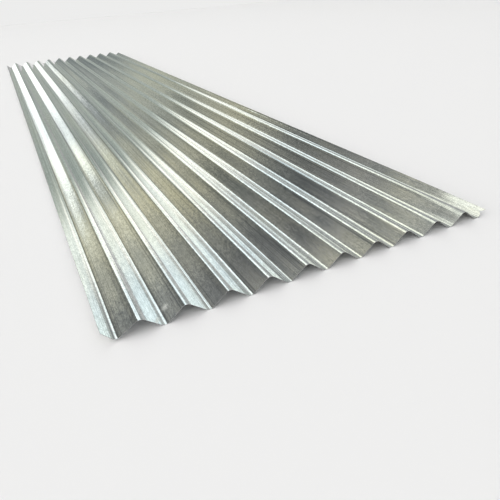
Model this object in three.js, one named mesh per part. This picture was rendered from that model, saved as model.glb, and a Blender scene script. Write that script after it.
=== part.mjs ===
// Corrugated steel roofing sheet: one roll-formed piece of galvanised steel, millimetres, +Z up.
//
// X runs across the corrugations and Y along them. The sheet lies on the undersides of its valleys
// at z = 0, centred on the origin. Both long edges turn up part of the way along a flank, so that a
// neighbouring sheet can lap over them.
import * as THREE from "three";

// Driving sizes.
const SHEET_LENGTH = 3048;      // along the corrugations, 10 ft
const PITCH = 67.73;            // crest to crest, 2 2/3 in
const WAVE_DEPTH = 22.2;        // underside of a valley to the top of a crest, 7/8 in
const STEEL_THICKNESS = 0.55;   // 26 gauge with its zinc
const BEND_RADIUS = 10;         // every crest and valley, to the middle of the steel
const WHOLE_CRESTS = 10;
const EDGE_REACH = 21;          // middle of an outermost valley out to the long edge beside it

// Facets that round each bend. An even number leaves one of them level, on the crest or the valley.
const BEND_FACETS = 12;

// Sizes that follow from them.
const HALF_PITCH = PITCH / 2;
const HALF_THICKNESS = STEEL_THICKNESS / 2;
const CREST_CENTRE_Z = WAVE_DEPTH - HALF_THICKNESS - BEND_RADIUS;
const VALLEY_CENTRE_Z = HALF_THICKNESS + BEND_RADIUS;
const SECTION_WIDTH = WHOLE_CRESTS * PITCH + 2 * EDGE_REACH;

// Slope of the straight flank: the line that touches a crest's arc and the next valley's arc, and
// crosses over between their centres.
function flankSlope() {
  const rise = CREST_CENTRE_Z - VALLEY_CENTRE_Z;
  const centreDistance = Math.hypot(HALF_PITCH, rise);
  return Math.atan2(rise, HALF_PITCH) + Math.asin((2 * BEND_RADIUS) / centreDistance);
}

// Corners of one bend's facets, left to right. Each facet touches the true arc at its middle, and
// the first and last corners lie on the flanks.
function bendCorners(middleX, isCrest, slope) {
  const step = (2 * slope) / BEND_FACETS;
  const cornerRadius = BEND_RADIUS / Math.cos(step / 2);
  const centreZ = isCrest ? CREST_CENTRE_Z : VALLEY_CENTRE_Z;
  const side = isCrest ? 1 : -1;
  return Array.from({ length: BEND_FACETS }, (_, i) => {
    const angle = -slope + (i + 0.5) * step;
    const x = middleX + cornerRadius * Math.sin(angle);
    return new THREE.Vector2(x, centreZ + side * cornerRadius * Math.cos(angle));
  });
}

// The middle line of the steel, centred on x = 0. It starts at the crest before the first valley and
// ends at the crest after the last one, so that both long edges fall inside it.
function middleLine() {
  const slope = flankSlope();
  const bendCount = 2 * WHOLE_CRESTS + 3;
  const firstX = -(WHOLE_CRESTS + 1) * HALF_PITCH;
  const bends = Array.from({ length: bendCount }, (_, i) => {
    const isCrest = i % 2 === 0;
    return bendCorners(firstX + i * HALF_PITCH, isCrest, slope);
  });
  return bends.flat();
}

// The stretch of a line that runs left to right between two x values.
function trimLine(points, fromX, toX) {
  const pointAt = (x) => {
    const next = points.findIndex((point) => point.x > x);
    const start = points[next - 1];
    const end = points[next];
    return start.clone().lerp(end, (x - start.x) / (end.x - start.x));
  };
  const inside = points.filter((point) => point.x > fromX && point.x < toX);
  return [pointAt(fromX), ...inside, pointAt(toX)];
}

// The same line moved sideways by a distance, upwards where it is positive. Each facet moves square
// to itself, so the steel keeps one thickness round the bends and its edges are cut square.
function offsetLine(points, distance) {
  const normalAfter = (i) => {
    const along = points[i + 1].clone().sub(points[i]).normalize();
    return new THREE.Vector2(-along.y, along.x);
  };
  return points.map((point, i) => {
    const before = normalAfter(Math.max(i - 1, 0));
    const after = normalAfter(Math.min(i, points.length - 2));
    const mitre = before.clone().add(after).normalize();
    return point.clone().addScaledVector(mitre, distance / mitre.dot(after));
  });
}

// The cut end of the sheet, seen along its length.
function crossSection() {
  const line = trimLine(middleLine(), -SECTION_WIDTH / 2, SECTION_WIDTH / 2);
  const topFace = offsetLine(line, HALF_THICKNESS);
  const underside = offsetLine(line, -HALF_THICKNESS);
  return new THREE.Shape([...topFace, ...underside.reverse()]);
}

function corrugatedSheet() {
  const geometry = new THREE.ExtrudeGeometry(crossSection(), {
    depth: SHEET_LENGTH,
    bevelEnabled: false,
  });
  // The section is drawn in XY and extruded along Z: stand it up, so that it runs along Y.
  geometry.rotateX(Math.PI / 2);
  geometry.translate(0, SHEET_LENGTH / 2, 0);
  const galvanisedSteel = new THREE.MeshStandardMaterial({
    color: 0xb4b8b6,
    metalness: 1,
    roughness: 0.3,
  });
  const mesh = new THREE.Mesh(geometry, galvanisedSteel);
  mesh.name = "corrugated_sheet";
  return mesh;
}

const sheet = new THREE.Group();
sheet.add(corrugatedSheet());

export default sheet;
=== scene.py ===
import math

import bpy
import numpy as np
from mathutils import Matrix, Vector


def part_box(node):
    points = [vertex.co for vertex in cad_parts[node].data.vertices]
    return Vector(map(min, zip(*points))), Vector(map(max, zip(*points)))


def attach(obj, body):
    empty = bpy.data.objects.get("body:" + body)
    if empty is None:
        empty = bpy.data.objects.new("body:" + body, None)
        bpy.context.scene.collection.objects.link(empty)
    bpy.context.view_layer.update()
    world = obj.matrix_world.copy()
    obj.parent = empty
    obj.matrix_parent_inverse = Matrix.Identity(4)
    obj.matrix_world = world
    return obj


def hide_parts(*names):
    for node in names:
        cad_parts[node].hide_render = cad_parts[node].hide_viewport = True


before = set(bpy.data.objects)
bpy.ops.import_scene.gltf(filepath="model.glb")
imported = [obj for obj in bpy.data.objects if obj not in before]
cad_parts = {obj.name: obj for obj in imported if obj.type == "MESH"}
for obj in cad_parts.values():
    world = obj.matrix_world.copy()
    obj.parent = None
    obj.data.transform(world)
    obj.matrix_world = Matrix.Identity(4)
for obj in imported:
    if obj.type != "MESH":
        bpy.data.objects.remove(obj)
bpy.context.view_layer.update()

# ---------------------------------------------------------------------------------------------
# The sheet: one piece of thin galvanised steel, pressed into even waves by a train of rolls and
# then sheared to length. Its flanks are straight, its crests and valleys round, and both long
# edges end part of the way up a flank, so that the next sheet can lap over them.
sheet_low, sheet_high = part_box("corrugated_sheet")
pitch = 0.06773
bend_radius = 0.010
steel_thickness = 0.00055
valley_count = 11

# How finely the mesh follows it: steps round each bend and over each flank, and metres between rows.
bend_steps = 8
flank_steps = 4
edge_flange_steps = 12
row_spacing = 0.0215

half_steel = steel_thickness / 2
length = sheet_high[1] - sheet_low[1]
crest_centre_z = sheet_high[2] - half_steel - bend_radius
valley_centre_z = sheet_low[2] + half_steel + bend_radius
centre_rise = crest_centre_z - valley_centre_z
centre_distance = math.hypot(pitch / 2, centre_rise)
flank_slope = math.atan2(centre_rise, pitch / 2) + math.asin(2 * bend_radius / centre_distance)
first_valley_x = -(valley_count - 1) * pitch / 2
flank_run = pitch / 2 - 2 * bend_radius * math.sin(flank_slope)
flank_length = flank_run / math.cos(flank_slope)
bend_length = 2 * bend_radius * flank_slope
bend_spacing = bend_length + flank_length
edge_x = sheet_high[0] - half_steel * math.sin(flank_slope)
edge_run = edge_x + first_valley_x - bend_radius * math.sin(flank_slope)
edge_flange_length = edge_run / math.cos(flank_slope)
rolled_width = (2 * valley_count - 1) * bend_length + (2 * valley_count - 2) * flank_length
flat_width = rolled_width + 2 * edge_flange_length


def steps_between(start, end, count):
    """Evenly spaced distances from start on, short of the end itself."""
    return [start + (end - start) * i / count for i in range(count)]


def arch(count):
    """One value a step: 0 at the start, 1 half-way, and 0 again just past the last one."""
    return [math.sin(math.pi * i / count) for i in range(count)]


# Where the lines of the mesh cross the sheet, as distances over the flat steel from its left edge.
# A bend is 0 in across_flank and the middle of a flank is 1.
across = steps_between(0, edge_flange_length, edge_flange_steps)
across_flank = arch(edge_flange_steps)
for bend in range(2 * valley_count - 1):
    bend_start = edge_flange_length + bend * bend_spacing
    across += steps_between(bend_start, bend_start + bend_length, bend_steps)
    across_flank += [0.0] * bend_steps
    if bend < 2 * valley_count - 2:
        flank_start = bend_start + bend_length
        across += steps_between(flank_start, flank_start + flank_length, flank_steps)
        across_flank += arch(flank_steps)
right_flange_start = flat_width - edge_flange_length
across += steps_between(right_flange_start, flat_width, edge_flange_steps) + [flat_width]
across_flank += arch(edge_flange_steps) + [0.0]
across = np.array(across)
across_flank = np.array(across_flank)

row_count = round(length / row_spacing)
along = np.linspace(sheet_low[1], sheet_high[1], row_count + 1)

# What rounding may take off the number of a bend that starts right at a line of the mesh.
rounding_slack = 1e-6


def rolled_wave(distance):
    """Where a point of the flat steel goes once the waves are rolled, as x and z."""
    bend_number = np.floor((distance - edge_flange_length) / bend_spacing + rounding_slack)
    run = distance - edge_flange_length - bend_number * bend_spacing
    is_crest = bend_number % 2
    side = 2 * is_crest - 1
    middle_z = np.where(is_crest, crest_centre_z, valley_centre_z)
    slope_angle = np.minimum(run, bend_length) / bend_radius - flank_slope
    past_bend = np.maximum(run - bend_length, 0)
    x = first_valley_x + bend_number * pitch / 2 + bend_radius * np.sin(slope_angle)
    z = middle_z + side * bend_radius * np.cos(slope_angle)
    return x + past_bend * math.cos(flank_slope), z - side * past_bend * math.sin(flank_slope)


x_wave, z_wave = rolled_wave(across)
x = np.repeat(x_wave[None, :], len(along), 0)
z = np.repeat(z_wave[None, :], len(along), 0)
y = np.repeat(along[:, None], len(across), 1)


def turn_up(x, z, middle_of_bend, side, angle):
    """Turns what lies beyond a bend's middle upwards, row by row; side is -1 left and 1 right."""
    column = np.argmin(np.abs(across - middle_of_bend))
    share = np.clip(side * (across - middle_of_bend) / (bend_length / 2), 0, 1)
    turn = -side * angle[:, None] * share
    run = x - x[:, column, None]
    rise = z - z[:, column, None]
    turned_x = x[:, column, None] + run * np.cos(turn) + rise * np.sin(turn)
    turned_z = z[:, column, None] - run * np.sin(turn) + rise * np.cos(turn)
    return turned_x, turned_z


# Handling has turned the left front corner up: its flange stands steeper, and the steel outside
# the first crest has lifted a few millimetres off the floor.
flange_turn = math.radians(4.1)
corner_turn = math.radians(6.3)
corner_fade = 0.42
first_valley = edge_flange_length + bend_length / 2
towards_front = np.exp(-((along - along[0]) / corner_fade) ** 2)
x, z = turn_up(x, z, first_valley, -1, flange_turn * towards_front)
x, z = turn_up(x, z, first_valley + bend_spacing, -1, corner_turn * towards_front)

# The right-hand flange has opened a little at its front end, and its wave has closed up with it.
flange_opening = math.radians(2.2)
opening_fade = 0.10
closing_up = 0.0006
last_valley = flat_width - first_valley
near_front = np.exp(-((along - along[0]) / opening_fade) ** 2)
x, z = turn_up(x, z, last_valley, 1, -flange_opening * near_front)
closed = np.clip((across - last_valley) / bend_spacing + 1, 0, 1)
x -= closing_up * near_front[:, None] * closed

# The flanks aren't quite flat: slow ripples of a sixth of a millimetre run along them. Each half of
# a flank follows the bend beside it, whose ripples are shifted by an amount of their own.
ripple_height = 0.00016
ripple_lengths = (0.83, 0.37, 0.19, 0.11)
ripple_shares = (0.45, 0.3, 0.17, 0.08)
ripple_seed = 11
from_first_bend = across - edge_flange_length + flank_length / 2
nearest_bend = np.floor(from_first_bend / bend_spacing).astype(int) + 1
shifts_drawn = (len(ripple_lengths), 2 * valley_count + 2)
shifts_of_bends = np.random.default_rng(ripple_seed).uniform(0, 2 * math.pi, shifts_drawn)
ripple = np.zeros_like(x)
for ripple_length, share, shifts in zip(ripple_lengths, ripple_shares, shifts_of_bends):
    ripple += share * np.sin(2 * math.pi * y / ripple_length + shifts[nearest_bend][None, :])
ripple *= ripple_height * across_flank[None, :]

# The middle of the steel, row by row, and the direction that is square to it and upwards.
middle_line = np.stack([x, y, z], -1)
normal = np.cross(np.gradient(middle_line, axis=1), np.gradient(middle_line, axis=0))
normal[..., 1] = 0
normal /= np.linalg.norm(normal, axis=-1, keepdims=True)
middle_line += normal * ripple[..., None]

# A nick torn in the front end of the right-hand flange.
nick_depth = 0.0065
nick_half_width = 0.006
nick_inset = 0.45 * edge_flange_length
nick_middle = flat_width - nick_inset
nick = nick_depth * np.clip(1 - np.abs(across - nick_middle) / nick_half_width, 0, 1)
middle_line[0, :, 1] += nick

top_face = middle_line + normal * half_steel
underside = middle_line - normal * half_steel
vertices = np.concatenate([top_face.reshape(-1, 3), underside.reshape(-1, 3)])
rows, columns = x.shape
top = np.arange(rows * columns).reshape(rows, columns)
below = top + rows * columns


def quads(a, b, c, d):
    """Four-sided faces from four arrays of their corners' numbers."""
    return np.stack([a.ravel(), b.ravel(), c.ravel(), d.ravel()], -1)


skins = [
    quads(top[:-1, :-1], top[:-1, 1:], top[1:, 1:], top[1:, :-1]),
    quads(below[:-1, :-1], below[1:, :-1], below[1:, 1:], below[:-1, 1:]),
]
cut_ends = [
    quads(below[0, :-1], below[0, 1:], top[0, 1:], top[0, :-1]),
    quads(top[-1, :-1], top[-1, 1:], below[-1, 1:], below[-1, :-1]),
]
slit_edges = [
    quads(top[:-1, 0], top[1:, 0], below[1:, 0], below[:-1, 0]),
    quads(below[:-1, -1], below[1:, -1], top[1:, -1], top[:-1, -1]),
]
faces = np.concatenate(skins + cut_ends + slit_edges)

# Only the cut edges are sharp.
sharp_angle = math.radians(40)
sheet_mesh = bpy.data.meshes.new("galvanised_sheet")
sheet_mesh.from_pydata(vertices.tolist(), [], faces.tolist())
sheet_mesh.shade_smooth()
sheet_mesh.set_sharp_from_angle(angle=sharp_angle)

# The finish is drawn on the flat steel, as metres across it and along it, with a note at each
# point of how near it is to a bend and of whether it lies on the top face.
on_top_face = np.repeat([1.0, 0.0], rows * columns)
flat_places = np.stack([np.tile(across, 2 * rows), vertices[:, 1]], -1)
flat_map = sheet_mesh.uv_layers.new(name="flat_steel")
flat_map.uv.foreach_set("vector", flat_places[faces.ravel()].astype(np.float32).ravel())
bend_note = sheet_mesh.attributes.new("bend", "FLOAT", "POINT")
bend_note.data.foreach_set("value", np.tile(1 - across_flank, 2 * rows).astype(np.float32))
face_note = sheet_mesh.attributes.new("top_face", "FLOAT", "POINT")
face_note.data.foreach_set("value", on_top_face.astype(np.float32))

# The map for baking has the two faces side by side, and the cut edges in strips beside them. Its
# sizes are shares of the map's width.
face_width = 0.488
face_gap = 0.002
strip_width = 0.003
strip_spacing = 0.0042
map_margin = 0.002
underside_start = face_width + 2 * face_gap
first_strip = 2 * (face_width + face_gap) + strip_width
share_across = np.tile(across / flat_width, 2 * rows)
share_along = np.tile(np.repeat((along - along[0]) / length, columns), 2)
bake_places = [
    np.stack([share_across * face_width + face_gap, share_along], -1)[skins[0]],
    np.stack([share_across * face_width + underside_start, share_along], -1)[skins[1]],
]
for strip, strip_faces in enumerate(cut_ends + slit_edges):
    down_the_strip = share_across if strip < len(cut_ends) else share_along
    over_the_strip = first_strip + strip * strip_spacing + on_top_face * strip_width
    bake_places.append(np.stack([over_the_strip, down_the_strip], -1)[strip_faces])
bake_map = sheet_mesh.uv_layers.new(name="OFBake")
bake_places = np.concatenate(bake_places) * (1 - 2 * map_margin) + map_margin
bake_map.uv.foreach_set("vector", bake_places.astype(np.float32).ravel())

sheet = bpy.data.objects.new("galvanised_sheet", sheet_mesh)
bpy.context.collection.objects.link(sheet)
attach(sheet, "root")
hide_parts("corrugated_sheet")

# ---------------------------------------------------------------------------------------------
# The zinc on the sheet: a hot-dipped coat, frozen into crystals that each lie at a slightly
# different tilt. The rolls have burnished fine lines into it along the bends, and handling and wet
# have left light scratches and specks of white oxide. Dark lines at the bends are partly rubbed
# zinc and partly painted reflection, and a pale haze low in the valleys is partly dust and partly
# painted sheen.

# Nodes stand on a grid in the shader editor; a place is counted in columns right and rows down.
grid_step = 200


def place_node(tree, kind, place):
    node = tree.nodes.new(kind)
    node.location = (place[0] * grid_step, place[1] * -grid_step)
    return node


def feed(tree, socket, value):
    """Links another node's output to a socket, or sets the socket to a plain value."""
    if isinstance(value, bpy.types.NodeSocket):
        tree.links.new(value, socket)
    else:
        socket.default_value = value


def add_node(tree, kind, place, **settings):
    """A shader node with its settings; a setting named after a socket goes to that socket."""
    node = place_node(tree, kind, place)
    for name, value in settings.items():
        label = name.replace("_", " ").title()
        if label in node.inputs:
            feed(tree, node.inputs[label], value)
        else:
            setattr(node, name, value)
    return node


def calculate(tree, place, operation, *values, kind="ShaderNodeMath"):
    """A maths node's result; each value is a number, a vector or another node's output."""
    node = place_node(tree, kind, place)
    node.operation = operation
    for socket, value in zip(node.inputs, values):
        feed(tree, socket, value)
    return node.outputs[0]


def calculate_vector(tree, place, operation, *values):
    return calculate(tree, place, operation, *values, kind="ShaderNodeVectorMath")


def scale_vector(tree, place, vector, amount):
    scaled = calculate_vector(tree, place, "SCALE", vector)
    feed(tree, scaled.node.inputs["Scale"], amount)
    return scaled


def ramp(tree, place, value, stops):
    """A colour ramp from value, with stops of (position, grey or colour)."""
    node = place_node(tree, "ShaderNodeValToRGB", place)
    tree.links.new(value, node.inputs["Fac"])
    elements = node.color_ramp.elements
    while len(elements) < len(stops):
        elements.new(1.0)
    for element, (position, tone) in zip(elements, stops):
        element.position = position
        element.color = (*tone, 1) if isinstance(tone, tuple) else (tone, tone, tone, 1)
    return node.outputs["Color"]


def map_range(tree, place, value, **settings):
    return add_node(tree, "ShaderNodeMapRange", place, value=value, **settings).outputs["Result"]


def mix_colours(tree, place, blend_type, share, first, second):
    """The second colour laid over the first by a share, or blended with it in another way."""
    node = add_node(tree, "ShaderNodeMix", place, data_type="RGBA", blend_type=blend_type)
    inputs = {socket.identifier: socket for socket in node.inputs}
    feed(tree, inputs["Factor_Float"], share)
    feed(tree, inputs["A_Color"], first)
    feed(tree, inputs["B_Color"], second)
    return next(socket for socket in node.outputs if socket.identifier == "Result_Color")


def new_group(name, inputs, outputs):
    """An empty node group, its input node and its output node; sockets are Float or Vector."""
    group = bpy.data.node_groups.new(name, "ShaderNodeTree")
    for in_out, sockets in (("INPUT", inputs), ("OUTPUT", outputs)):
        for label, kind in sockets.items():
            group.interface.new_socket(label, in_out=in_out, socket_type="NodeSocket" + kind)
    return group, group.nodes.new("NodeGroupInput"), group.nodes.new("NodeGroupOutput")


def use_group(tree, group, place, **settings):
    """The outputs of a node group placed in a tree, with its inputs given by name."""
    return add_node(tree, "ShaderNodeGroup", place, node_tree=group, **settings).outputs


# Crystals with ragged borders. Each has a shade and a dullness from 0 to 1 and a small tilt, and
# the seam falls from 1 inside a crystal to 0 on its border.
crystals, crystal_inputs, crystal_outputs = new_group(
    "zinc_crystals",
    {"Position": "Vector", "Crystals Per Metre": "Float", "Raggedness": "Float"},
    {"Shade": "Float", "Dullness": "Float", "Tilt": "Vector", "Seam": "Float"},
)
middle_colour = (0.5, 0.5, 0.5)
in_crystals = scale_vector(crystals, (1, 0), crystal_inputs.outputs["Position"],
                           crystal_inputs.outputs["Crystals Per Metre"])
wobble = add_node(crystals, "ShaderNodeTexNoise", (2, 1), vector=in_crystals, scale=1.3, detail=3)
wobble = calculate_vector(crystals, (3, 1), "SUBTRACT", wobble.outputs["Color"], middle_colour)
wobble = scale_vector(crystals, (4, 1), wobble, crystal_inputs.outputs["Raggedness"])
ragged_place = calculate_vector(crystals, (5, 0), "ADD", in_crystals, wobble)
cells = add_node(crystals, "ShaderNodeTexVoronoi", (6, 0), voronoi_dimensions="2D",
                 vector=ragged_place, scale=1)
borders = add_node(crystals, "ShaderNodeTexVoronoi", (6, 2), voronoi_dimensions="2D",
                   feature="DISTANCE_TO_EDGE", vector=ragged_place, scale=1)
chance = add_node(crystals, "ShaderNodeSeparateColor", (7, 0), color=cells.outputs["Color"])
crystals.links.new(chance.outputs["Green"], crystal_outputs.inputs["Shade"])
crystals.links.new(chance.outputs["Red"], crystal_outputs.inputs["Dullness"])
tilt = calculate_vector(crystals, (7, 1), "SUBTRACT", cells.outputs["Color"], middle_colour)
crystals.links.new(tilt, crystal_outputs.inputs["Tilt"])
seam = map_range(crystals, (7, 2), borders.outputs["Distance"], from_min=0.0, from_max=0.12)
crystals.links.new(seam, crystal_outputs.inputs["Seam"])

# Fine straight lines drawn by a tool, as a height from 0 to 1. They run along the position's Y.
drawn_lines, line_inputs, line_outputs = new_group(
    "drawn_lines",
    {"Position": "Vector", "Lines Per Metre": "Float", "Line Length": "Float"},
    {"Height": "Float"},
)
line_place = add_node(drawn_lines, "ShaderNodeSeparateXYZ", (1, 0),
                      vector=line_inputs.outputs["Position"])
over_lines = calculate(drawn_lines, (2, 0), "MULTIPLY", line_place.outputs["X"],
                       line_inputs.outputs["Lines Per Metre"])
down_a_line = calculate(drawn_lines, (2, 1), "DIVIDE", line_place.outputs["Y"],
                        line_inputs.outputs["Line Length"])
stretched = add_node(drawn_lines, "ShaderNodeCombineXYZ", (3, 0), x=over_lines, y=down_a_line)
line_height = add_node(drawn_lines, "ShaderNodeTexNoise", (4, 0), scale=1, detail=3, roughness=0.6,
                       vector=stretched.outputs["Vector"])
drawn_lines.links.new(line_height.outputs["Fac"], line_outputs.inputs["Height"])

zinc = bpy.data.materials.new("hot_dipped_zinc")
zinc.use_nodes = True
zinc_tree = zinc.node_tree
zinc_shader = zinc_tree.nodes["Principled BSDF"]
flat = add_node(zinc_tree, "ShaderNodeUVMap", (-12, 0), uv_map="flat_steel").outputs["UV"]
near_a_bend = add_node(zinc_tree, "ShaderNodeAttribute", (-12, 2), attribute_name="bend")
near_a_bend = near_a_bend.outputs["Fac"]

# The colour comes from a fine mottle and from crystals of two sizes, all drawn out along the waves.
mottle_share = 0.33
spangle_share = 0.25
grain_share = 0.42
drawn_out = add_node(zinc_tree, "ShaderNodeMapping", (-11, 0), vector=flat, scale=(1, 0.55, 1))
drawn_out = drawn_out.outputs["Vector"]
spangle = use_group(zinc_tree, crystals, (-10, 0), position=drawn_out, crystals_per_metre=250,
                    raggedness=0.9)
grain = use_group(zinc_tree, crystals, (-10, 2), position=drawn_out, crystals_per_metre=560,
                  raggedness=0.6)
mottle = add_node(zinc_tree, "ShaderNodeMapping", (-11, 1), vector=flat, scale=(1, 0.2, 1))
mottle = add_node(zinc_tree, "ShaderNodeTexNoise", (-10, 1), vector=mottle.outputs["Vector"],
                  scale=220, detail=7, roughness=0.72)
mottle = map_range(zinc_tree, (-9, 1), mottle.outputs["Fac"], from_min=0.36, from_max=0.64)
shade = calculate(zinc_tree, (-9, 0), "MULTIPLY", mottle, mottle_share)
shade = calculate(zinc_tree, (-8, 0), "MULTIPLY_ADD", spangle["Shade"], spangle_share, shade)
shade = calculate(zinc_tree, (-7, 0), "MULTIPLY_ADD", grain["Shade"], grain_share, shade)
zinc_colour = ramp(zinc_tree, (-6, 0), shade, (
    (0.15, (0.61, 0.63, 0.62)),
    (0.5, (0.78, 0.80, 0.79)),
    (0.85, (0.93, 0.945, 0.94)),
))

# Soft clouds over a few waves at a time, warm in some places and cool in others.
clouds = add_node(zinc_tree, "ShaderNodeMapping", (-11, -2), vector=flat, scale=(7, 2.2, 1))
clouds = add_node(zinc_tree, "ShaderNodeTexNoise", (-10, -2), vector=clouds.outputs["Vector"],
                  scale=1, detail=4, roughness=0.6).outputs["Fac"]
cloud_tint = ramp(zinc_tree, (-9, -2), clouds, (
    (0.3, (0.94, 0.96, 0.97)),
    (0.5, (1.0, 1.0, 1.0)),
    (0.7, (1.0, 0.985, 0.93)),
))
zinc_colour = mix_colours(zinc_tree, (-5, 0), "MULTIPLY", 1.0, zinc_colour, cloud_tint)

# What the rolls have left: fine lines, deepest round the bends, and broader marks. The dark lines,
# strongest at the bends, are partly rubbed zinc and partly painted reflection.
depth_on_a_flank = 0.2
darkness_on_a_flank = 0.4
rubbed_zinc_and_painted_reflection = (0.36, 0.38, 0.39, 1)
roll_lines = use_group(zinc_tree, drawn_lines, (-10, 4), position=flat, lines_per_metre=700,
                       line_length=0.9)["Height"]
roll_marks = use_group(zinc_tree, drawn_lines, (-10, 5), position=flat, lines_per_metre=140,
                       line_length=2.5)["Height"]
line_depth = calculate(zinc_tree, (-9, 5), "MULTIPLY_ADD", near_a_bend, 1 - depth_on_a_flank,
                       depth_on_a_flank)
roll_depth = calculate(zinc_tree, (-8, 4), "MULTIPLY", roll_lines, line_depth)
dark_lines = use_group(zinc_tree, drawn_lines, (-10, 3), position=flat, lines_per_metre=320,
                       line_length=1.3)["Height"]
dark_lines = map_range(zinc_tree, (-9, 3), dark_lines, from_min=0.47, from_max=0.38, to_min=0.0,
                       to_max=0.85)
darkness = calculate(zinc_tree, (-9, 4), "MULTIPLY_ADD", near_a_bend, 1 - darkness_on_a_flank,
                     darkness_on_a_flank)
dark_lines = calculate(zinc_tree, (-8, 3), "MULTIPLY", dark_lines, darkness)
# Painted reflection: the dark lines darken the colour most at the bends; in part they are rubbed
# zinc.
zinc_colour = mix_colours(zinc_tree, (-5, -1), "MIX", dark_lines, zinc_colour, rubbed_zinc_and_painted_reflection)

# Scratches from other sheets that were slid over this one, a little aslant.
aslant = add_node(zinc_tree, "ShaderNodeMapping", (-11, 6), vector=flat, rotation=(0, 0, 0.14))
scratches = use_group(zinc_tree, drawn_lines, (-10, 6), position=aslant.outputs["Vector"],
                      lines_per_metre=420, line_length=0.16)["Height"]
scratches = map_range(zinc_tree, (-9, 6), scratches, from_min=0.70, from_max=0.78)

# White oxide where the sheet has stood wet: specks all over, and one soft patch near the front.
oxide_patch = (0.119, -1.491, 0)
oxide_patch_size = 0.010
oxide_cover = 0.7
white_oxide = (0.80, 0.81, 0.80, 1)
blotches = add_node(zinc_tree, "ShaderNodeTexNoise", (-10, 8), vector=flat, scale=260, detail=6,
                    roughness=0.7).outputs["Fac"]
specks = map_range(zinc_tree, (-9, 8), blotches, from_min=0.70, from_max=0.84)
from_patch = calculate_vector(zinc_tree, (-10, 9), "DISTANCE", flat, oxide_patch)
patch = map_range(zinc_tree, (-9, 9), from_patch.node.outputs["Value"], from_min=0.0,
                  from_max=oxide_patch_size, to_min=2.0, to_max=0.0,
                  interpolation_type="SMOOTHSTEP")
oxide = calculate(zinc_tree, (-8, 8), "MULTIPLY_ADD", patch, blotches, specks)
oxide_share = calculate(zinc_tree, (-5, 1), "MULTIPLY", oxide, oxide_cover)
zinc_colour = mix_colours(zinc_tree, (-4, 0), "MIX", oxide_share, zinc_colour, white_oxide)

# A thin pale haze on the top face, thickest at the bottoms of the valleys: partly dust and partly
# a painted sheen that lightens the lower flanks.
dust_and_sheen_colour = (0.74, 0.73, 0.68, 1)
sheet_place = add_node(zinc_tree, "ShaderNodeTexCoord", (-12, 11)).outputs["Object"]
above_floor = add_node(zinc_tree, "ShaderNodeSeparateXYZ", (-11, 11), vector=sheet_place)
low_down = map_range(zinc_tree, (-10, 11), above_floor.outputs["Z"], from_min=0.001,
                     from_max=0.018, to_min=1.0, to_max=0.0)
upper_side = add_node(zinc_tree, "ShaderNodeAttribute", (-10, 12), attribute_name="top_face")
patchy = map_range(zinc_tree, (-9, 12), clouds, from_min=0.35, from_max=0.65, to_min=0.03,
                   to_max=0.12)
dust_and_sheen = calculate(zinc_tree, (-8, 11), "MULTIPLY", low_down, upper_side.outputs["Fac"])
dust_and_sheen = calculate(zinc_tree, (-7, 11), "MULTIPLY", dust_and_sheen, patchy)
# Painted sheen: the pale haze lightens the valley bottoms and the lower flanks, partly as dust.
zinc_colour = mix_colours(zinc_tree, (-3, 0), "MIX", dust_and_sheen, zinc_colour, dust_and_sheen_colour)
zinc_tree.links.new(zinc_colour, zinc_shader.inputs["Base Color"])

# Oxide and the haze of dust and painted sheen hide the metal, and most marks make it a little
# rougher.
metal_under_oxide = 0.6
metallic = calculate(zinc_tree, (-4, 1), "MULTIPLY_ADD", oxide, metal_under_oxide - 1, 1.0)
metallic = calculate(zinc_tree, (-3, 1), "SUBTRACT", metallic, dust_and_sheen)
zinc_tree.links.new(metallic, zinc_shader.inputs["Metallic"])
roughness = map_range(zinc_tree, (-7, 3), spangle["Dullness"], to_min=0.05, to_max=0.085)
for place, mask, rougher_by in (
    ((-6, 3), clouds, 0.03),
    ((-5, 3), scratches, 0.10),
    ((-4, 3), oxide, 0.25),
    ((-3, 3), roll_depth, 0.04),
):
    roughness = calculate(zinc_tree, place, "MULTIPLY_ADD", mask, rougher_by, roughness)
zinc_tree.links.new(roughness, zinc_shader.inputs["Roughness"])

# Each crystal's tilt leans the surface, and the lines and the grain are cut into it.
full_relief = 0.00003
surface = add_node(zinc_tree, "ShaderNodeNewGeometry", (-7, 5)).outputs["Normal"]
for column, crystal_layer, lean_share in ((-6, spangle, 0.007), (-4, grain, 0.014)):
    lean = scale_vector(zinc_tree, (column, 5), crystal_layer["Tilt"], lean_share)
    surface = calculate_vector(zinc_tree, (column + 1, 5), "ADD", surface, lean)
surface = calculate_vector(zinc_tree, (-2, 5), "NORMALIZE", surface)
height = 0.0
for place, mask, rise in (
    ((-6, 7), grain["Seam"], 0.12),
    ((-5, 7), roll_depth, 1.0),
    ((-5, 8), roll_marks, 5.0),
    ((-4, 7), scratches, -0.25),
    ((-3, 7), oxide, 0.3),
):
    height = calculate(zinc_tree, place, "MULTIPLY_ADD", mask, rise, height)
relief = add_node(zinc_tree, "ShaderNodeBump", (-1, 5), strength=1.0, distance=full_relief,
                  height=height, normal=surface)
zinc_tree.links.new(relief.outputs["Normal"], zinc_shader.inputs["Normal"])
sheet_mesh.materials.append(zinc)

# ---------------------------------------------------------------------------------------------
# The cut edges: bare steel where the shear and the slitter went through. The blade has polished
# the upper part of the cut and smeared a little zinc into it, and the rest has torn off rough.
polished_steel = (0.62, 0.63, 0.62, 1)
torn_steel = (0.30, 0.295, 0.29, 1)
polished_roughness = 0.24
torn_roughness = 0.56
cut_relief = 0.00004
raggedness_of_tear = 0.5

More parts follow.
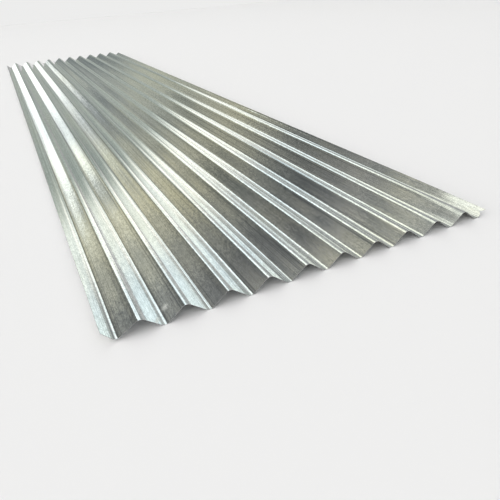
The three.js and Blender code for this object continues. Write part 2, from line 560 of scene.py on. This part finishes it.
bare_steel = bpy.data.materials.new("sheared_steel")
bare_steel.use_nodes = True
cut_tree = bare_steel.node_tree
cut_shader = cut_tree.nodes["Principled BSDF"]
cut_shader.inputs["Metallic"].default_value = 1.0
cut_place = add_node(cut_tree, "ShaderNodeTexCoord", (-8, 0)).outputs["Object"]
cut_place = add_node(cut_tree, "ShaderNodeSeparateXYZ", (-7, 0), vector=cut_place)
along_the_cut = calculate(cut_tree, (-6, 0), "ADD", cut_place.outputs["X"], cut_place.outputs["Y"])
blade_place = add_node(cut_tree, "ShaderNodeCombineXYZ", (-5, 0), x=along_the_cut,
                       y=cut_place.outputs["Z"])
blade_lines = use_group(cut_tree, drawn_lines, (-4, 0), position=blade_place.outputs["Vector"],
                        lines_per_metre=2600, line_length=0.01)["Height"]
up_the_cut = add_node(cut_tree, "ShaderNodeAttribute", (-8, 2), attribute_name="top_face")
ragged_height = calculate(cut_tree, (-3, 1), "MULTIPLY_ADD", blade_lines, raggedness_of_tear,
                          up_the_cut.outputs["Fac"])
torn = map_range(cut_tree, (-2, 1), ragged_height, from_min=0.95, from_max=0.75)
cut_colour = mix_colours(cut_tree, (-1, 0), "MIX", torn, polished_steel, torn_steel)
cut_tree.links.new(cut_colour, cut_shader.inputs["Base Color"])
cut_roughness = calculate(cut_tree, (-1, 1), "MULTIPLY_ADD", torn,
                          torn_roughness - polished_roughness, polished_roughness)
cut_tree.links.new(cut_roughness, cut_shader.inputs["Roughness"])
blade_relief = add_node(cut_tree, "ShaderNodeBump", (-1, 2), strength=0.8, distance=cut_relief,
                        height=blade_lines)
cut_tree.links.new(blade_relief.outputs["Normal"], cut_shader.inputs["Normal"])
sheet_mesh.materials.append(bare_steel)
face_material = np.zeros(len(faces), dtype=np.int32)
face_material[sum(len(skin) for skin in skins):] = 1
sheet_mesh.polygons.foreach_set("material_index", face_material)

# ---------------------------------------------------------------------------------------------
# The floor: pale, plain, matt studio paint. It ends where the backdrop has the same tone, so that
# its far side doesn't fall off into the dark.
floor_size = 13
bpy.ops.mesh.primitive_plane_add(size=floor_size, location=(0, 0, 0))
floor = bpy.context.object
floor.name = "studio_floor"
floor_paint = bpy.data.materials.new("floor_paint")
floor_paint.use_nodes = True
paint_shader = floor_paint.node_tree.nodes["Principled BSDF"]
paint_shader.inputs["Base Color"].default_value = (0.825, 0.817, 0.84, 1)
paint_shader.inputs["Roughness"].default_value = 0.9
paint_shader.inputs["Specular IOR Level"].default_value = 0.2
floor.data.materials.append(floor_paint)

# ---------------------------------------------------------------------------------------------
# The light: a pale room that the steel mirrors in long stripes, the same at both ends, and soft
# panels that the camera doesn't see. Bright windows run across its walls above a door's height.
room = bpy.data.worlds.new("pale_room")
room.use_nodes = True
bpy.context.scene.world = room
room_tree = room.node_tree
direction = add_node(room_tree, "ShaderNodeTexCoord", (-8, 0)).outputs["Generated"]
towards = add_node(room_tree, "ShaderNodeSeparateXYZ", (-7, 0), vector=direction)
# How far ahead a direction points, from 0 alongside the sheet to 1 straight ahead or behind.
ahead = calculate(room_tree, (-7, 1), "ABSOLUTE", towards.outputs["Y"])
ahead = calculate(room_tree, (-6, 0), "ARCSINE", ahead)
ahead = calculate(room_tree, (-5, 0), "MULTIPLY", ahead, 2 / math.pi)
# How far to the side of overhead it points, in degrees. The room's corners lean a little.
most_lean = 5.0
to_the_side = calculate(room_tree, (-6, 2), "ARCTAN2", towards.outputs["X"], towards.outputs["Z"])
to_the_side = calculate(room_tree, (-5, 2), "DEGREES", to_the_side)
corner_lean = ramp(room_tree, (-5, 1), ahead, (
    (35 / 90, 0.95),
    (40 / 90, 0.0),
    (54 / 90, 0.0),
    (60 / 90, 0.5),
))
corner_lean = calculate(room_tree, (-4, 0), "MULTIPLY_ADD", corner_lean, 2 * most_lean, -most_lean)
from_overhead = calculate(room_tree, (-4, 1), "ADD", to_the_side, corner_lean)


def wall(place, tones):
    """A wall whose tone changes with the angle ahead, from 0 alongside to 90 straight ahead."""
    stops = [(angle / 90, tone) for angle, tone in tones]
    return ramp(room_tree, place, ahead, stops)


left_wall = wall((-4, -2), (
    (20, 1.3),
    (31, 1.1),
    (34, (0.45, 0.455, 0.42)),
    (42, (0.32, 0.325, 0.30)),
    (45, (0.29, 0.292, 0.28)),
    (48.5, (0.197, 0.20, 0.20)),
    (51, (0.145, 0.15, 0.15)),
    (55, (0.183, 0.19, 0.18)),
    (59, (0.272, 0.275, 0.235)),
    (62, (0.36, 0.355, 0.28)),
    (66, (0.46, 0.455, 0.36)),
    (69.5, (0.37, 0.385, 0.335)),
    (76, (0.34, 0.37, 0.355)),
    (90, (0.42, 0.45, 0.435)),
))
far_wall = wall((-4, 0), (
    (20, 0.6),
    (32, (1.18, 1.20, 1.10)),
    (40, (1.31, 1.34, 1.16)),
    (47, (1.27, 1.35, 1.29)),
    (51, (1.20, 1.35, 1.41)),
    (55, (1.20, 1.35, 1.41)),
    (58, (1.26, 1.36, 1.35)),
    (60, (1.31, 1.37, 1.29)),
    (66, (1.32, 1.37, 1.27)),
    (68.5, (0.45, 0.51, 0.46)),
    (70.5, (0.39, 0.44, 0.41)),
    (90, (0.42, 0.45, 0.43)),
))
right_wall = wall((-4, 2), (
    (20, 0.42),
    (46, (0.44, 0.46, 0.46)),
    (54, (0.48, 0.51, 0.51)),
    (57, (0.60, 0.62, 0.60)),
    (59, (0.86, 0.87, 0.82)),
    (62, (1.45, 1.45, 1.34)),
    (66.5, (1.45, 1.45, 1.34)),
    (69, (1.0, 1.05, 0.96)),
    (70.5, (0.42, 0.48, 0.43)),
    (90, (0.42, 0.45, 0.43)),
))
dado = wall((-4, 4), ((20, 0.42), (48, 0.42), (56, 0.55), (64, 0.65), (71, 0.44), (90, 0.42)))


def turn_corner(place, wall_before, wall_after, start_angle, end_angle):
    """Blends one wall into the next between two angles across the waves, 0 being overhead."""
    share = map_range(room_tree, place, from_overhead, from_min=start_angle, from_max=end_angle,
                      interpolation_type="SMOOTHSTEP")
    return mix_colours(room_tree, (place[0] + 1, place[1]), "MIX", share, wall_before, wall_after)


walls = turn_corner((-3, -1), left_wall, far_wall, -14.5, -11.5)
walls = turn_corner((-2, 1), walls, right_wall, 14, 26)
walls = turn_corner((-1, 3), walls, dado, 58, 68)

# Things that stand about break the walls up, the left one most, and it is lighter low down.
clutter = add_node(room_tree, "ShaderNodeMapping", (-3, 7), vector=direction, scale=(17, 17, 6))
clutter = add_node(room_tree, "ShaderNodeTexNoise", (-2, 7), vector=clutter.outputs["Vector"],
                   scale=1, detail=3, roughness=0.5)
clutter = ramp(room_tree, (-1, 7), clutter.outputs["Fac"], (
    (0.36, (0.50, 0.53, 0.56)),
    (0.5, (1.0, 1.0, 1.0)),
    (0.64, (1.50, 1.45, 1.28)),
))
how_cluttered = map_range(room_tree, (-1, 8), from_overhead, from_min=-18.0, from_max=-10.0,
                          to_min=1.0, to_max=0.35)
cluttered_walls = mix_colours(room_tree, (0, 3), "MULTIPLY", how_cluttered, walls, clutter)
lower_left = map_range(room_tree, (-1, 5), to_the_side, from_min=-78.0, from_max=-48.0, to_min=2.5,
                       to_max=1.0)
mirrored = room_tree.nodes["Background"]
room_tree.links.new(cluttered_walls, mirrored.inputs["Color"])
room_tree.links.new(lower_left, mirrored.inputs["Strength"])

# The camera sees a plain pale backdrop instead of the room.
backdrop = add_node(room_tree, "ShaderNodeBackground", (1, 2), color=(0.845, 0.845, 0.84, 1))
seen_by_camera = add_node(room_tree, "ShaderNodeLightPath", (1, -2)).outputs["Is Camera Ray"]
choice = add_node(room_tree, "ShaderNodeMixShader", (2, 0), fac=seen_by_camera)
room_tree.links.new(mirrored.outputs["Background"], choice.inputs[1])
room_tree.links.new(backdrop.outputs["Background"], choice.inputs[2])
room_tree.links.new(choice.outputs["Shader"], room_tree.nodes["World Output"].inputs["Surface"])


def soft_panel(name, centre, aim, width, height, brightness, colour=(1, 1, 1)):
    """A flat panel that the camera doesn't see. Its brightness is the tone that the steel mirrors."""
    lamp = bpy.data.lights.new(name, "AREA")
    lamp.shape = "RECTANGLE"
    lamp.size = width
    lamp.size_y = height
    lamp.energy = brightness * math.pi * width * height
    lamp.color = colour
    panel = bpy.data.objects.new(name, lamp)
    bpy.context.collection.objects.link(panel)
    panel.location = centre
    panel.rotation_mode = "QUATERNION"
    panel.rotation_quaternion = (Vector(aim) - Vector(centre)).to_track_quat("-Z", "Y")
    panel.visible_camera = False
    return panel


# This panel fades out towards its top and towards the room's middle, so that what it lights in the
# steel has no hard end.
far_left_panel = soft_panel("far_left_panel", (-5.25, 13.0, 1.6), (-0.1, 0, 1.6), width=8.7,
                            height=3.2, brightness=0.85, colour=(0.96, 1, 0.99))
far_left_panel.data.use_nodes = True
panel_tree = far_left_panel.data.node_tree
on_panel = add_node(panel_tree, "ShaderNodeNewGeometry", (-4, 0)).outputs["Parametric"]
up_the_panel = add_node(panel_tree, "ShaderNodeSeparateXYZ", (-3, 0), vector=on_panel).outputs["Y"]
fading_upwards = map_range(panel_tree, (-2, 0), up_the_panel, from_min=0.37, from_max=1.0,
                           to_min=1.0, to_max=0.0, interpolation_type="SMOOTHSTEP")
panel_place = add_node(panel_tree, "ShaderNodeNewGeometry", (-5, 2)).outputs["Position"]
panel_place = add_node(panel_tree, "ShaderNodeSeparateXYZ", (-4, 2), vector=panel_place)
panel_side = calculate(panel_tree, (-3, 2), "ARCTAN2", panel_place.outputs["X"],
                       panel_place.outputs["Z"])
fading_sideways = map_range(panel_tree, (-2, 2), panel_side, from_min=math.radians(-48.5),
                            from_max=math.radians(-43), to_min=1.0, to_max=0.0,
                            interpolation_type="SMOOTHSTEP")
panel_strength = calculate(panel_tree, (-1, 0), "MULTIPLY", fading_upwards, fading_sideways)
panel_tree.links.new(panel_strength, panel_tree.nodes["Emission"].inputs["Strength"])
overhead_panel = soft_panel("overhead_panel", (0, 1, 6), (0, 1, 0), width=14.0, height=16.0,
                            brightness=0.36)
overhead_panel.visible_glossy = False

# ---------------------------------------------------------------------------------------------
# The camera: low over the front end of the sheet, left of its middle. It looks down along the
# waves and a little to the right.
sensor_width = 36
view_angle = math.radians(56.114)
camera_place = (-0.3759, -2.052, 0.4164)
camera_right = Vector((0.89232, -0.44768, -0.05778))
camera_forward = Vector((0.36156, 0.78549, -0.50228))
camera_up = camera_right.cross(camera_forward)
facing = Matrix((camera_right, camera_up, -camera_forward)).transposed()

camera_data = bpy.data.cameras.new("camera")
camera_data.sensor_width = sensor_width
camera_data.lens = sensor_width / 2 / math.tan(view_angle / 2)
camera = bpy.data.objects.new("camera", camera_data)
bpy.context.collection.objects.link(camera)
camera.location = camera_place
camera.rotation_mode = "QUATERNION"
camera.rotation_quaternion = facing.to_quaternion()
bpy.context.scene.camera = camera
bpy.context.scene.view_settings.view_transform = "Standard"
